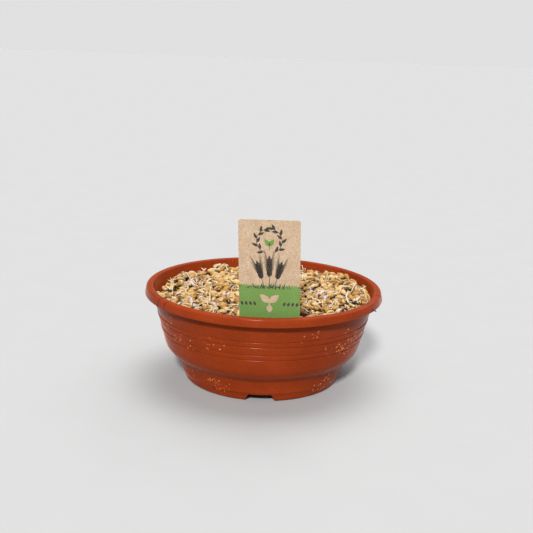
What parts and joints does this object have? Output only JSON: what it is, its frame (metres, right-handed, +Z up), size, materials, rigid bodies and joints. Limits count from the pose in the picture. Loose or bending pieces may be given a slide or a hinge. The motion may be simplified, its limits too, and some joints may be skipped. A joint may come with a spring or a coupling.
{
  "type": "potted cat grass",
  "caption": "Round moulded plastic bowl filled with peat under a bed of freshly sprouted wheat grains, with a pointed card label standing behind its front rim.",
  "frame": {"origin": "middle of the bowl's base, on the surface it stands on", "axes": "+Z up, -Y the front where the label stands, +X to the right seen from the front"},
  "size_m": [0.2, 0.2, 0.1527],
  "materials": {
    "pot_plastic": "injection-moulded polypropylene in terracotta, satin, with fine specks and dried water marks",
    "peat": null,
    "grain": "soaked wheat grains, golden tan with a waxy skin, with cream rootlets and shoots",
    "label_card": "stiff kraft card, printed, uncoated"
  },
  "bodies": {
    "root": {"pot": "pot_plastic", "soil": "peat", "grain_bed": "grain", "label": "label_card"}
  },
  "joints": []
}
